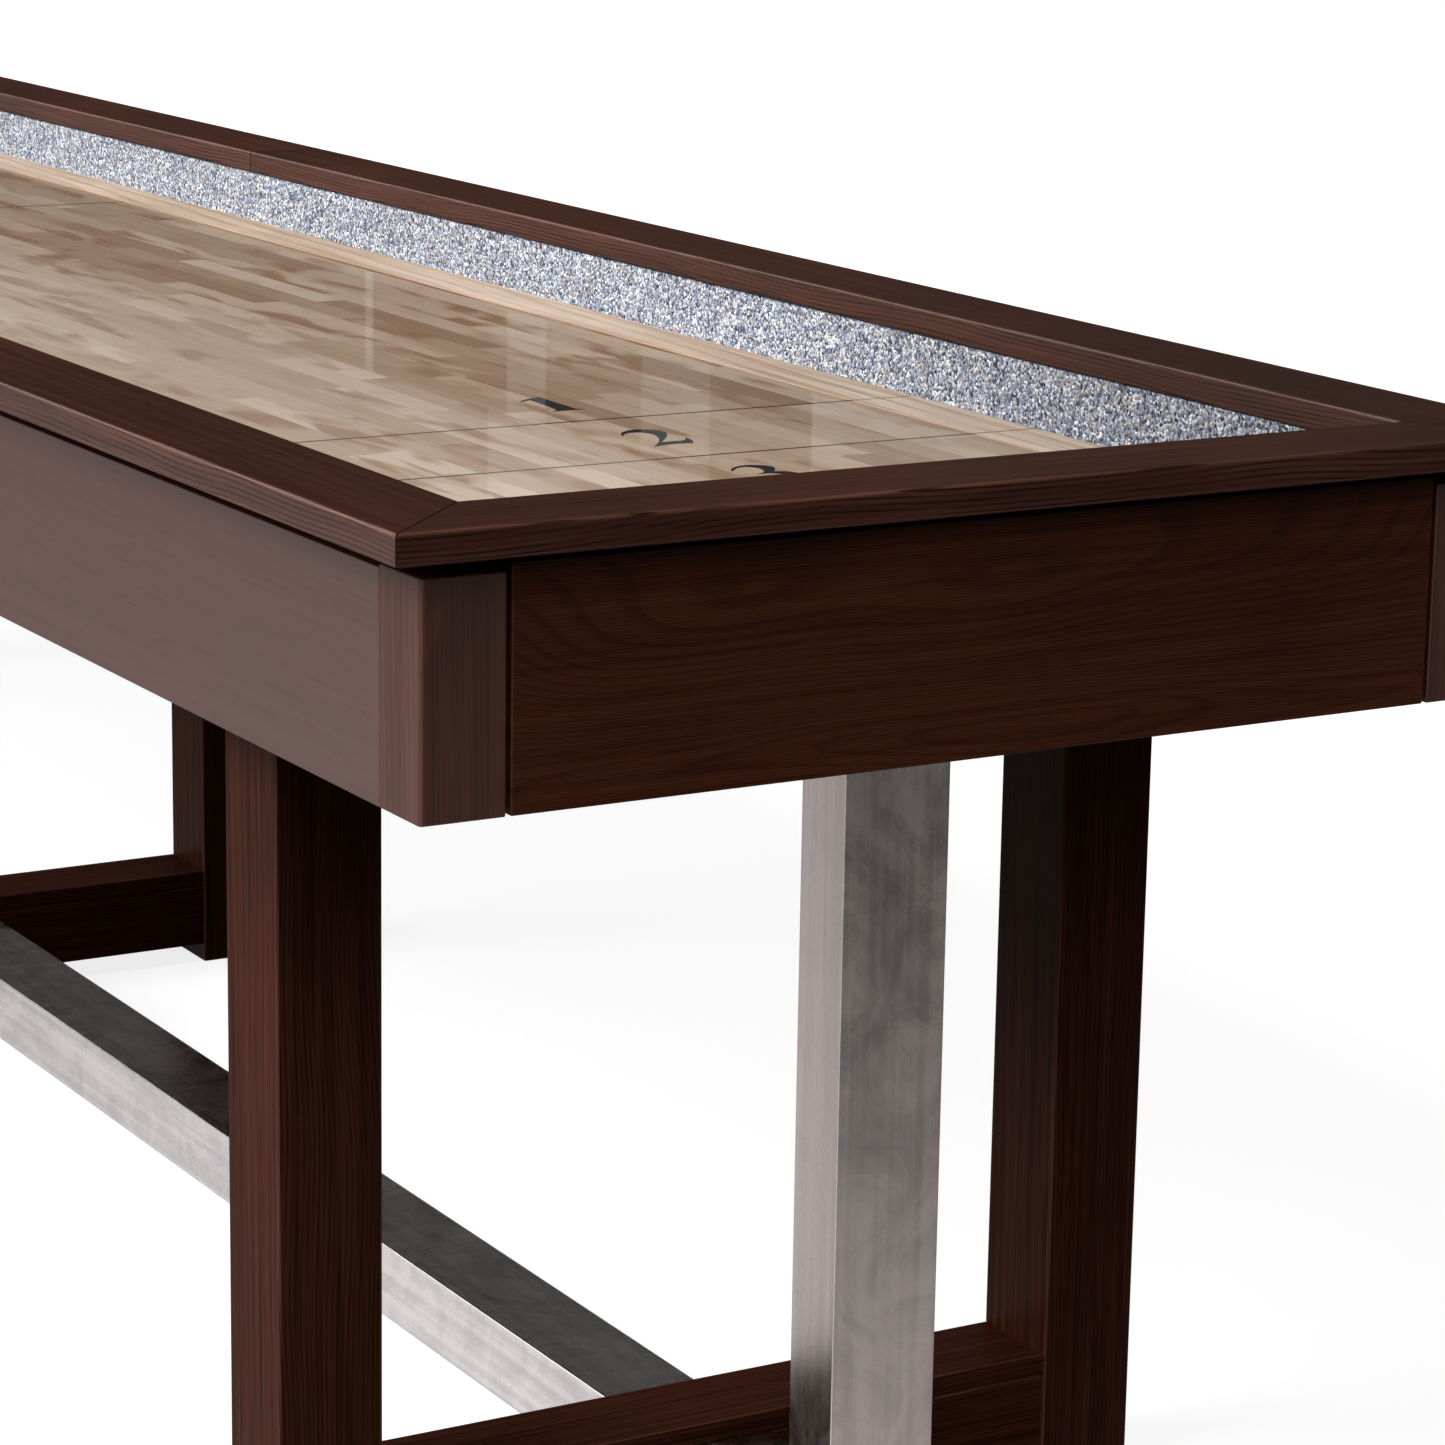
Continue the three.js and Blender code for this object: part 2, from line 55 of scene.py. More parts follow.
class Graph:
    """A material's node tree, written as expressions: values are numbers, tuples or sockets."""

    def __init__(self, name):
        self.material = bpy.data.materials.new(name)
        self.material.use_nodes = True
        self.tree = self.material.node_tree
        self.tree.nodes.clear()
        self.shader = self.tree.nodes.new("ShaderNodeBsdfPrincipled")
        output = self.tree.nodes.new("ShaderNodeOutputMaterial")
        self.tree.links.new(self.shader.outputs[0], output.inputs["Surface"])
        coordinates = self.tree.nodes.new("ShaderNodeTexCoord")
        self.place = coordinates.outputs["Object"]

    def put(self, socket, value):
        if isinstance(value, bpy.types.NodeSocket):
            self.tree.links.new(value, socket)
        else:
            socket.default_value = value

    def node(self, kind, settings=None, **inputs):
        made = self.tree.nodes.new(kind)
        for key, value in (settings or {}).items():
            setattr(made, key, value)
        for key, value in inputs.items():
            self.put(made.inputs[key.replace("_", " ")], value)
        return made

    def math(self, operation, *values, clamp=False):
        made = self.tree.nodes.new("ShaderNodeMath")
        made.operation = operation
        made.use_clamp = clamp
        for socket, value in zip(made.inputs, values):
            self.put(socket, value)
        return made.outputs[0]

    def split(self, vector):
        return self.node("ShaderNodeSeparateXYZ", Vector=vector).outputs

    def join(self, x, y, z):
        return self.node("ShaderNodeCombineXYZ", X=x, Y=y, Z=z).outputs[0]

    def scaled(self, parts, *factors):
        """A vector of the parts, each times its own factor."""
        return self.join(*(self.math("MULTIPLY", part, factor) for part, factor in zip(parts, factors)))

    def nudged(self, value, swing, amount):
        """The value, moved up or down by an amount as the swing leaves its middle, 0.5."""
        return self.math("ADD", value, self.math("MULTIPLY", self.math("SUBTRACT", swing, 0.5), amount))

    def noise(self, vector, scale=1.0, detail=2.0, roughness=0.5, distortion=0.0):
        made = self.node(
            "ShaderNodeTexNoise",
            {"noise_dimensions": "3D"},
            Vector=vector,
            Scale=scale,
            Detail=detail,
            Roughness=roughness,
            Distortion=distortion,
        )
        return made.outputs[0]

    def chance(self, vector):
        """A random value from 0 to 1 for each whole-numbered cell."""
        return self.node("ShaderNodeTexWhiteNoise", {"noise_dimensions": "3D"}, Vector=vector).outputs[0]

    def band(self, value, start, end, first=0.0, last=1.0):
        """A soft step from one number to another as the value goes from start to end."""
        made = self.tree.nodes.new("ShaderNodeMapRange")
        made.interpolation_type = "SMOOTHSTEP"
        self.put(made.inputs["Value"], value)
        for key, number in (("From Min", start), ("From Max", end), ("To Min", first), ("To Max", last)):
            self.put(made.inputs[key], number)
        return made.outputs["Result"]

    def blend(self, factor, first, second, mode="MIX"):
        made = self.tree.nodes.new("ShaderNodeMix")
        made.data_type = "RGBA"
        made.blend_type = mode
        self.put(made.inputs[0], factor)
        for socket, value in ((made.inputs[6], first), (made.inputs[7], second)):
            self.put(socket, value if isinstance(value, bpy.types.NodeSocket) else (*value, 1.0))
        return made.outputs[2]

    def ramp(self, value, *stops):
        made = self.tree.nodes.new("ShaderNodeValToRGB")
        self.put(made.inputs[0], value)
        elements = made.color_ramp.elements
        while len(elements) < len(stops):
            elements.new(0.5)
        for element, (position, colour) in zip(elements, stops):
            element.position = position
            element.color = (*colour, 1.0)
        return made.outputs[0]

    def bump(self, height, distance, strength):
        made = self.node("ShaderNodeBump", Height=height, Distance=distance, Strength=strength)
        self.put(self.shader.inputs["Normal"], made.outputs[0])

    def set(self, **inputs):
        for key, value in inputs.items():
            name = key.replace("_", " ")
            if name.endswith("Color") and isinstance(value, tuple):
                value = (*value, 1.0)
            self.put(self.shader.inputs[name], value)

    def shifted(self, spread):
        """Object coordinates moved by a distance that differs from piece to piece."""
        seed = self.node("ShaderNodeObjectInfo").outputs["Random"]
        shift = self.math("MULTIPLY", seed, spread)
        x, y, z = self.split(self.place)
        shift_y, shift_z = self.math("MULTIPLY", shift, 0.37), self.math("MULTIPLY", shift, 0.61)
        moves = ((x, shift), (y, shift_y), (z, shift_z))
        return self.join(*(self.math("ADD", place, move) for place, move in moves))

    def along(self, axis, vector):
        """(along the grain, across, depth) for a piece whose grain runs along that axis."""
        x, y, z = self.split(vector)
        return {"X": (x, y, z), "Y": (y, x, z), "Z": (z, y, x)}[axis]


# ---------------------------------------------------------------- timber

# Noise frequencies per metre: along the grain, then across it and through the depth.
SWAY = (1.3, 9.0, 9.0)
FIGURE = (1.5, 4.0, 7.5)
PORES = (14.0, 1150.0, 1150.0)
STREAKS = (3.0, 170.0, 170.0)
VEIN_FADE = (9.0, 260.0, 260.0)
VEIN_DRIFT = (0.3, 1.0, 1.0)

# The pith's place beside a board, the slope of its rings along it, and how far they wander, in metres.
PITH = (0.11, 0.07)
RING_TILT = 0.02
RING_WARP = 0.014
RING_WARP_DEPTH = 0.0224

# How far pieces differ, how many vein widths a vein drifts, and tints that multiply the stain.
WOOD_SHIFT = 3.1
VEIN_SWING = 9.0
VEIN_TINT = (0.22, 0.17, 0.16)
PORE_TINT = (0.25, 0.2, 0.2)


def ring_phase(g, grain, ring):
    """From 0 to 1 over each growth ring about a pith that lies outside the board."""
    run, across, depth = grain
    slow = g.scaled(grain, *SWAY)
    sway = g.math("SUBTRACT", g.noise(slow, 1.0, 2.0, 0.45), 0.5)
    sway_two = g.math("SUBTRACT", g.noise(slow, 1.7, 1.0, 0.4), 0.5)
    ring_u = g.math("ADD", g.math("ADD", across, PITH[0]), g.math("MULTIPLY", sway, RING_WARP))
    lean = g.math("MULTIPLY", run, RING_TILT)
    ring_v = g.math("ADD", g.math("ADD", depth, lean), g.math("MULTIPLY", sway_two, RING_WARP_DEPTH))
    ring_v = g.math("ADD", ring_v, PITH[1])
    reach = g.math("SQRT", g.math("ADD", g.math("POWER", ring_u, 2.0), g.math("POWER", ring_v, 2.0)))
    return g.math("FRACT", g.math("DIVIDE", reach, ring))


def vein_mask(g, grain, width):
    """Thin dark lines along the grain, that drift sideways and fade in and out."""
    run, across, depth = grain
    drift = g.noise(g.scaled(grain, *VEIN_DRIFT), 11.0, 1.0, 0.4)
    lines = g.math("DIVIDE", g.math("ADD", across, depth), width)
    lines = g.math("ADD", lines, g.math("MULTIPLY", drift, VEIN_SWING))
    ripple = g.math("ABSOLUTE", g.math("SUBTRACT", g.math("FRACT", lines), 0.5))
    fading = g.band(g.noise(g.scaled(grain, *VEIN_FADE), 1.0, 2.0, 0.6), 0.36, 0.60, 0.25, 1.0)
    return g.math("MULTIPLY", g.band(ripple, 0.22, 0.41), fading)


def wood(
    name,
    axis,
    dark,
    light,
    line=(0.5, 0.5, 0.5),
    ring=0.006,
    ring_depth=0.5,
    pore_depth=0.55,
    vein_depth=0.0,
    vein_width=0.0032,
    roughness=0.42,
    specular=0.5,
    bump=0.00012,
    figure=0.0,
):
    """Sawn timber: growth rings, or the arches of a flat-sawn figure, with veins, pores and slow tone."""
    g = Graph(name)
    grain = g.along(axis, g.shifted(WOOD_SHIFT))
    if figure:
        arches = g.noise(g.scaled(grain, *FIGURE), 1.0, 1.0, 0.35, 0.3)
        year = g.math("FRACT", g.math("MULTIPLY", arches, figure))
    else:
        year = ring_phase(g, grain, ring)
    late = g.math("MULTIPLY", g.band(year, 0.5, 0.9), g.band(year, 0.93, 1.0, 1.0, 0.0))
    pores = g.band(g.noise(g.scaled(grain, *PORES), 1.0, 2.0, 0.6), 0.50, 0.72)
    streaks = g.noise(g.scaled(grain, *STREAKS), 1.0, 3.0, 0.6)
    cloud = g.noise(g.join(*grain), 4.0, 2.0, 0.5)
    veins = vein_mask(g, grain, vein_width)

    tone = g.math("ADD", g.math("MULTIPLY", streaks, 0.6), g.math("MULTIPLY", cloud, 0.4))
    colour = g.blend(g.band(tone, 0.33, 0.67), dark, light)
    colour = g.blend(g.math("MULTIPLY", late, ring_depth), colour, line, "MULTIPLY")
    colour = g.blend(g.math("MULTIPLY", veins, vein_depth), colour, VEIN_TINT, "MULTIPLY")
    pored = g.math("MULTIPLY", pores, g.math("ADD", 0.55, g.math("MULTIPLY", late, 0.45)))
    colour = g.blend(g.math("MULTIPLY", pored, pore_depth), colour, PORE_TINT, "MULTIPLY")
    sheen = g.nudged(g.math("ADD", roughness, g.math("MULTIPLY", pored, 0.12)), cloud, 0.12)
    g.set(Base_Color=colour, Roughness=sheen, Specular_IOR_Level=specular)
    relief = g.math("ADD", g.math("MULTIPLY", pored, 0.5), g.math("MULTIPLY", late, 0.2 * ring_depth))
    relief = g.math("ADD", relief, g.math("MULTIPLY", veins, 0.9 * vein_depth))
    g.bump(g.math("SUBTRACT", 1.0, relief), bump, 0.8)
    return g.material


RUBBED_DARK = (0.046, 0.017, 0.011)
RUBBED_LIGHT = (0.092, 0.037, 0.026)


def espresso(part, axis, dark, light, **changes):
    """A dark stained timber and the slightly rubbed-through version of it for its eased edges."""
    body = wood(f"{part}_{axis}", axis, dark, light, **changes)
    edge = wood(f"{part}_{axis}_edge", axis, RUBBED_DARK, RUBBED_LIGHT, **changes)
    return body, edge


STEEL_SHIFT = 2.3
STEEL_HAIRS = (9.0, 2600.0, 2600.0)
STEEL_BANDS = (2.2, 120.0, 120.0)
STEEL_TINT = (0.52, 0.455, 0.44)


def brushed_steel(name, axis, tint=STEEL_TINT, rough=0.27, blotch=0.1, cloudy=0.86):
    """Stainless steel brushed along an axis, with faint clouds where the polishing pads turned."""
    g = Graph(name)
    grain = g.along(axis, g.shifted(STEEL_SHIFT))
    hairline = g.noise(g.scaled(grain, *STEEL_HAIRS), 1.0, 3.0, 0.65)
    bands = g.noise(g.scaled(grain, *STEEL_BANDS), 1.0, 2.0, 0.5)
    clouds = g.noise(g.join(*grain), 13.0, 5.0, 0.66, 1.8)
    tone = g.math("ADD", g.math("MULTIPLY", bands, 0.45), g.math("MULTIPLY", clouds, 0.55))
    shade = g.band(tone, 0.36, 0.64, cloudy, 1.10)
    colour = g.blend(1.0, tint, g.join(shade, shade, shade), "MULTIPLY")
    roughness = g.nudged(g.nudged(rough, hairline, 0.22), clouds, blotch * 2)
    g.set(Base_Color=colour, Metallic=1.0, Roughness=roughness)
    g.bump(hairline, 0.00002, 0.6)
    return g.material


ZINC_SPANGLE = 180.0


def zinc(name):
    """Zinc-plated mild steel: a dull spangle with a slight warm passivation."""
    g = Graph(name)
    spots = g.node("ShaderNodeTexVoronoi", {"feature": "F1"}, Vector=g.place, Scale=ZINC_SPANGLE)
    spangle = g.split(spots.outputs["Color"])[0]
    colour = g.blend(spangle, (0.46, 0.46, 0.44), (0.60, 0.59, 0.55))
    g.set(Base_Color=colour, Metallic=1.0, Roughness=g.band(spangle, 0.0, 1.0, 0.34, 0.5))
    g.bump(g.noise(g.place, 900.0, 2.0), 0.00003, 0.5)
    return g.material


# ---------------------------------------------------------------- maple playfield

# Widths and lengths in metres; noise frequencies per metre, as for timber.
STAVE_WIDTH = 0.0242
STAVE_LENGTH = 0.19
STAVE_SPREAD = 0.30
MAPLE_GRAIN = (6.0, 480.0, 480.0)
MAPLE_FLAMES = (9.0, 34.0, 34.0)
MAPLE_BLOTS = (22.0, 48.0, 0.0)
STAVE_STAGGER = (3.0, 5.3, 0.0)
MAPLE_TONES = (
    (0.0, (0.63, 0.495, 0.365)),
    (0.30, (0.545, 0.405, 0.285)),
    (0.60, (0.455, 0.32, 0.212)),
    (0.84, (0.36, 0.23, 0.137)),
    (1.0, (0.28, 0.158, 0.082)),
)
MAPLE_WARM = (0.56, 0.395, 0.285)
MAPLE_HEART = (0.25, 0.112, 0.038)
MAPLE_MOTTLE = (0.36, 0.23, 0.14)
MAPLE_LINE = (0.72, 0.62, 0.5)
MAPLE_SEAM = (0.42, 0.3, 0.2)


def maple_stave_colour(g, x, y, z):
    """Narrow maple staves, random in length and tone, with mottled brown heartwood in some of them."""
    row = g.math("FLOOR", g.math("DIVIDE", y, STAVE_WIDTH))
    row_chance = g.chance(g.join(row, 3.0, 0.0))
    length = g.math("ADD", STAVE_LENGTH, g.math("MULTIPLY", row_chance, STAVE_SPREAD))
    shift = g.math("MULTIPLY", g.chance(g.join(row, 7.0, 0.0)), 9.0)
    bent = g.math("MULTIPLY", g.noise(g.scaled((x, row, 0.0), *STAVE_STAGGER)), 0.35)
    slid = g.math("DIVIDE", g.math("ADD", g.math("ADD", x, shift), bent), length)
    piece = g.math("FLOOR", slid)
    pick = g.chance(g.join(row, piece, 1.0))
    warm = g.chance(g.join(row, piece, 2.0))
    xs = g.math("ADD", x, g.math("MULTIPLY", g.chance(g.join(row, piece, 5.0)), 40.0))
    grains = g.noise(g.scaled((xs, y, z), *MAPLE_GRAIN), 1.0, 3.0, 0.6)
    flames = g.noise(g.scaled((xs, y, z), *MAPLE_FLAMES), 1.0, 1.8, 0.5, 0.5)
    mottle = g.noise(g.scaled((xs, y, 0.0), *MAPLE_BLOTS), 1.0, 2.0, 0.5, 0.5)
    colour = g.ramp(pick, *MAPLE_TONES)
    colour = g.blend(g.math("MULTIPLY", warm, 0.3), colour, MAPLE_WARM)
    heart = g.math("MULTIPLY", g.band(flames, 0.46, 0.66), g.band(warm, 0.1, 0.6))
    colour = g.blend(g.math("MULTIPLY", heart, 0.85), colour, MAPLE_HEART)
    colour = g.blend(g.math("MULTIPLY", g.band(mottle, 0.5, 0.75), 0.38), colour, MAPLE_MOTTLE)
    colour = g.blend(g.math("MULTIPLY", g.band(grains, 0.45, 0.75), 0.26), colour, MAPLE_LINE, "MULTIPLY")
    in_row = g.math("FRACT", g.math("DIVIDE", y, STAVE_WIDTH))
    side_gap = g.math("MINIMUM", in_row, g.math("SUBTRACT", 1.0, in_row))
    in_piece = g.math("FRACT", slid)
    end_gap = g.math("MINIMUM", in_piece, g.math("SUBTRACT", 1.0, in_piece))
    side_seam = g.band(side_gap, 0.006, 0.016, 1.0, 0.0)
    end_seam = g.band(end_gap, 0.0006, 0.0018, 1.0, 0.0)
    seam = g.math("MAXIMUM", side_seam, end_seam)
    return g.blend(g.math("MULTIPLY", seam, 0.28), colour, MAPLE_SEAM, "MULTIPLY"), grains


def maple_playfield():
    """Laminated maple under a thick clear coat: a near-mirror surface over the staves."""
    g = Graph("playfield_gloss")
    x, y, z = g.split(g.place)
    colour, grains = maple_stave_colour(g, x, y, z)
    g.set(
        Base_Color=colour,
        Roughness=g.band(grains, 0.3, 0.7, 0.3, 0.42),
        Coat_Weight=1.0,
        Coat_Roughness=0.018,
        Coat_IOR=1.5,
        Specular_IOR_Level=0.25,
    )
    return g.material


def maple_core():
    """The same staves without a finish, for the underside and ends of the board."""
    g = Graph("maple_core_raw")
    x, y, z = g.split(g.place)
    colour, grains = maple_stave_colour(g, x, y, z)
    g.set(Base_Color=colour, Roughness=0.5)
    g.bump(grains, 0.00008, 0.6)
    return g.material


# ---------------------------------------------------------------- carpet

YARN_SCALE = 500.0
YARN_JITTER = 0.0012
YARN_TONES = (
    (0.0, (0.006, 0.007, 0.012)),
    (0.16, (0.025, 0.035, 0.075)),
    (0.32, (0.13, 0.155, 0.235)),
    (0.50, (0.23, 0.27, 0.36)),
    (0.68, (0.36, 0.40, 0.47)),
    (0.84, (0.60, 0.61, 0.61)),
    (1.0, (0.90, 0.90, 0.90)),
)
YARN_TAN = (0.33, 0.24, 0.17)


def carpet_pile():
    """Looped pile spun from white, pale blue, slate, navy and black yarns, with a few tan ones."""
    g = Graph("carpet_pile")
    jitter = g.math("MULTIPLY", g.noise(g.place, 300.0, 1.0), YARN_JITTER)
    x, y, z = g.split(g.place)
    warped = g.join(g.math("ADD", x, jitter), y, g.math("ADD", z, jitter))
    loops = g.node("ShaderNodeTexVoronoi", {"feature": "F1"}, Vector=warped, Scale=YARN_SCALE, Randomness=1.0)
    pick = g.split(loops.outputs["Color"])[0]
    patch = g.noise(g.place, 95.0, 2.0)
    pick = g.math("ADD", pick, g.math("MULTIPLY", g.math("SUBTRACT", patch, 0.5), 0.35), clamp=True)
    colour = g.ramp(pick, *YARN_TONES)
    tan = g.band(g.split(loops.outputs["Color"])[1], 0.86, 0.88)
    colour = g.blend(g.math("MULTIPLY", tan, 0.7), colour, YARN_TAN)
    g.set(Base_Color=colour, Roughness=0.95, Specular_IOR_Level=0.1, Sheen_Weight=0.25, Sheen_Roughness=0.6)
    crown = g.math("SUBTRACT", 1.0, g.math("MULTIPLY", loops.outputs["Distance"], 1.6))
    g.bump(crown, 0.0012, 0.9)
    return g.material


# ---------------------------------------------------------------- pieces

def new_piece(name, mesh, *materials):
    piece = bpy.data.objects.new(name, mesh)
    bpy.context.scene.collection.objects.link(piece)
    for material in materials:
        mesh.materials.append(material)
    return piece


def even_normals(piece):
    for polygon in piece.data.polygons:
        polygon.use_smooth = True
    modifier = piece.modifiers.new("even_normals", "WEIGHTED_NORMAL")
    modifier.keep_sharp = True


# Lengths in metres; FLAT, JOINT_SHARP and CREASE are angles in degrees.
WELD = 0.01 * MM
FLUSH_REACH = 0.5 * MM
JOINT_EASE = 2.0 * MM
FLAT = 2.0
JOINT_SHARP = 60.0
CREASE = 50.0
UPWARD = 0.7


def is_joint(face):
    """A mitre face, or a face at mid-length where two halves meet."""
    mitre = min(abs(face.normal.x), abs(face.normal.y)) > 0.5
    middle = abs(face.normal.x) > 0.9 and abs(face.calc_center_median().x) < MM
    return mitre or middle


def sharp_edges(bm, sharp):
    """Edges whose faces turn by more than so many degrees."""
    limit = math.radians(sharp)
    return [e for e in bm.edges if e.is_manifold and e.calc_face_angle() > limit]


def at_joint(edge):
    return any(is_joint(face) for face in edge.link_faces)


def eased(node, materials, ease, body=TABLE, steps=3, sharp=25.0, top=None, joint=None, flush_y=None):
    """A clean copy of a CAD node with its edges rounded over; it stands for that node.

    The last of the materials goes on the rounded edges, top on faces that look up, and joint on the
    narrow break where the piece meets its other half or a mitred neighbour. A face near flush_y keeps
    square edges and is brought to it, so that two pieces close up without a line. Angles are in
    degrees: edges sharper than sharp are rounded, and those left sharper than CREASE stay crisp.
    """
    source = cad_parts[node].data
    bm = bmesh.new()
    bm.from_mesh(source)
    bmesh.ops.remove_doubles(bm, verts=bm.verts, dist=WELD)
    bmesh.ops.dissolve_limit(bm, angle_limit=math.radians(FLAT), verts=bm.verts, edges=bm.edges)
    used = list(materials)
    for extra in (top, joint):
        if extra:
            used.append(extra)
    for face in bm.faces:
        face.material_index = len(materials) if top and face.normal.z > UPWARD else 0

    def round_over(edges, offset, segments, index):
        bmesh.ops.bevel(
            bm,
            geom=edges,
            offset=offset,
            segments=segments,
            profile=0.5,
            affect="EDGES",
            clamp_overlap=True,
            material=index,
        )

    if joint:
        free = [e for e in sharp_edges(bm, sharp) if not at_joint(e)]
        round_over(free, ease, steps, len(materials) - 1)
        breaks = [e for e in sharp_edges(bm, JOINT_SHARP) if at_joint(e)]
        round_over(breaks, JOINT_EASE, 1, len(used) - 1)
    else:
        edges = sharp_edges(bm, sharp)
        if flush_y is not None:
            shut = [v for v in bm.verts if abs(v.co.y - flush_y) < FLUSH_REACH]
            for vertex in shut:
                vertex.co.y = flush_y
            edges = [e for e in edges if not (e.verts[0] in shut and e.verts[1] in shut)]
        round_over(edges, ease, steps, len(materials) - 1)
    for edge in bm.edges:
        edge.smooth = not edge.is_manifold or edge.calc_face_angle() < math.radians(CREASE)
    mesh = bpy.data.meshes.new(f"{node}_eased")
    bm.to_mesh(mesh)
    bm.free()
    piece = new_piece(f"{node}_look", mesh, *used)
    even_normals(piece)
    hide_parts(node)
    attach(piece, body)


RAIL_TONES = dict(dark=(0.036, 0.0112, 0.0066), light=(0.072, 0.0255, 0.0168))
# Painted shade: the rails' tops take darker tones than their sides, for the dimmer light on them.
RAIL_TOP_SHADED_TONES = dict(dark=(0.0152, 0.0048, 0.0026), light=(0.0305, 0.0104, 0.0062))
SIDE_PANEL_TONES = ((0.040, 0.0145, 0.0108), (0.051, 0.0185, 0.0140))
END_PANEL_TONES = ((0.041, 0.0102, 0.0042), (0.072, 0.0205, 0.0088))
POST_TONES = ((0.035, 0.0112, 0.0068), (0.070, 0.0255, 0.0168))
# Legs and crossbars: the espresso stain, darkened further as painted shade for their place under the table
# top.
LEG_SHADED_TONES = ((0.023, 0.0056, 0.0027), (0.052, 0.0165, 0.0098))
BAR_SHADED_TONES = ((0.018, 0.0040, 0.0018), (0.042, 0.0115, 0.0060))
JOINT_TONE = (0.004, 0.002, 0.0015)

RAIL_GRAIN = dict(pore_depth=0.45, ring=0.0075, ring_depth=0.12, vein_depth=1.0, vein_width=0.0033)
SIDE_PANEL_GRAIN = dict(pore_depth=0.12, ring_depth=0.08, roughness=0.34, specular=0.72, bump=0.00003)
END_PANEL_GRAIN = dict(pore_depth=0.25, ring_depth=0.62, vein_depth=0.5, vein_width=0.0020, figure=58.0)
LEG_GRAIN = dict(vein_depth=0.7, ring=0.009, ring_depth=0.45, specular=0.03)


def dress_timber():
    """Rails, aprons, corner posts, legs and crossbars in espresso stain, with painted shade: darker tones on
    the rails' tops, and on the legs and crossbars under the table top.
    """
    rail = dict(RAIL_GRAIN, **RAIL_TONES)
    rail_x = espresso("rail", "X", specular=0.4, **rail)
    rail_y = espresso("rail", "Y", specular=0.12, **rail)
    # A darker copy of the rail timber on the rails' upward faces: painted shade.
    shaded_rail_top = dict(RAIL_GRAIN, **RAIL_TOP_SHADED_TONES)
    shaded_rail_top.update(vein_depth=0.35, specular=0.04, roughness=0.5)
    shaded_top_x = wood("rail_top_X", "X", **shaded_rail_top)
    shaded_top_y = wood("rail_top_Y", "Y", **shaded_rail_top)
    panel_x = espresso("panel", "X", *SIDE_PANEL_TONES, **SIDE_PANEL_GRAIN)
    panel_y = espresso("panel", "Y", *END_PANEL_TONES, specular=0.08, **END_PANEL_GRAIN)
    post_z = espresso("post", "Z", *POST_TONES, pore_depth=0.35, vein_depth=0.35, specular=0.40)
    leg_z = espresso("leg", "Z", *LEG_SHADED_TONES, **LEG_GRAIN)
    bar_y = espresso("bar", "Y", *BAR_SHADED_TONES, vein_depth=0.6, specular=0.02)
    crack = ink("joint_shadow", JOINT_TONE, gloss=0.0)
    for side, _ in SIDES:
        for end, _ in ENDS:
            eased(f"side_rail_{side}_{end}", rail_x, 2.0 * MM, top=shaded_top_x, joint=crack)
            eased(f"side_apron_{side}_{end}", panel_x, 0.8 * MM)
            eased(f"corner_post_{side}_{end}", post_z, 1.0 * MM, sharp=40.0)
    for end, _ in ENDS:
        eased(f"end_rail_{end}", rail_y, 2.0 * MM, top=shaded_top_y, joint=crack)
        eased(f"end_apron_{end}", panel_y, 1.0 * MM)
    for leg_frame in FRAMES:
        eased(f"crossbar_{leg_frame}", bar_y, 1.5 * MM)
        for side, _ in SIDES:
            eased(f"leg_{leg_frame}_{side}", leg_z, 2.0 * MM)


RAW_BOARD = dict(dark=(0.30, 0.185, 0.095), light=(0.47, 0.32, 0.18), line=(0.7, 0.6, 0.5))
STAINED_BOARD = dict(dark=(0.030, 0.010, 0.006), light=(0.050, 0.017, 0.010), specular=0.05, roughness=0.7)


def dress_inside():
    """Bearers and gutter floors in bare timber, and gutter walls stained like the rails."""
    board_x = wood("inner_board_X", "X", pore_depth=0.3, roughness=0.6, **RAW_BOARD)
    board_y = wood("inner_board_Y", "Y", pore_depth=0.3, roughness=0.6, **RAW_BOARD)
    wall_x = wood("gutter_wall_X", "X", **STAINED_BOARD)
    wall_y = wood("gutter_wall_Y", "Y", **STAINED_BOARD)
    for side, _ in SIDES:
        eased(f"gutter_wall_{side}", [wall_x], 0.6 * MM)
        eased(f"gutter_floor_{side}", [board_x], 0.6 * MM)
    for end, _ in ENDS:
        eased(f"gutter_wall_{end}_end", [wall_y], 0.6 * MM)
        eased(f"gutter_floor_{end}_end", [board_y], 0.6 * MM)
        eased(f"bearer_{end}_end", [board_y], 1.5 * MM)
    for leg_frame in FRAMES:
        eased(f"bearer_{leg_frame}", [board_y], 1.5 * MM)


# The stretcher's steel is tinted brighter than the posts' as painted reflection of the brighter surroundings
# low down; its rounded edges are tinted brighter still, a painted highlight line.
STRETCHER_REFLECTION_TINT = (0.77, 0.735, 0.74)
STRETCHER_EDGE_HIGHLIGHT_TINT = (0.96, 0.98, 1.0)


def dress_steel():
    """Brushed posts and stretcher, the stretcher tinted brighter with a bright edge line as painted
    reflection and highlight, and zinc-plated adjusters and levellers on their own bodies.
    """
    upright = brushed_steel("steel_upright", "Z")
    lengthwise = brushed_steel("steel_lengthwise", "X", STRETCHER_REFLECTION_TINT, blotch=0.08, cloudy=0.78)
    # Smoother steel, tinted near white, on the stretcher's rounded edges: a painted highlight.
    edge_highlight = brushed_steel("steel_edge_highlight", "X", STRETCHER_EDGE_HIGHLIGHT_TINT, rough=0.10, blotch=0.02, cloudy=1.0)
    plated = zinc("zinc_plate")
    for end, _ in ENDS:
        eased(f"steel_post_{end}", [upright], 0.8 * MM)
        eased(f"steel_stretcher_{end}", [lengthwise, edge_highlight], 2.6 * MM)
        eased(f"climate_bar_{end}", [plated], 1.0 * MM, sharp=40)
        screw = f"climate_screw_{end}"
        eased(screw, [plated], 0.5 * MM, body=screw, steps=2, sharp=40)
    for leg_frame in FRAMES:
        for side, _ in SIDES:
            leveller = f"leveller_{leg_frame}_{side}"
            eased(leveller, [plated], 0.4 * MM, body=leveller, steps=2, sharp=40)


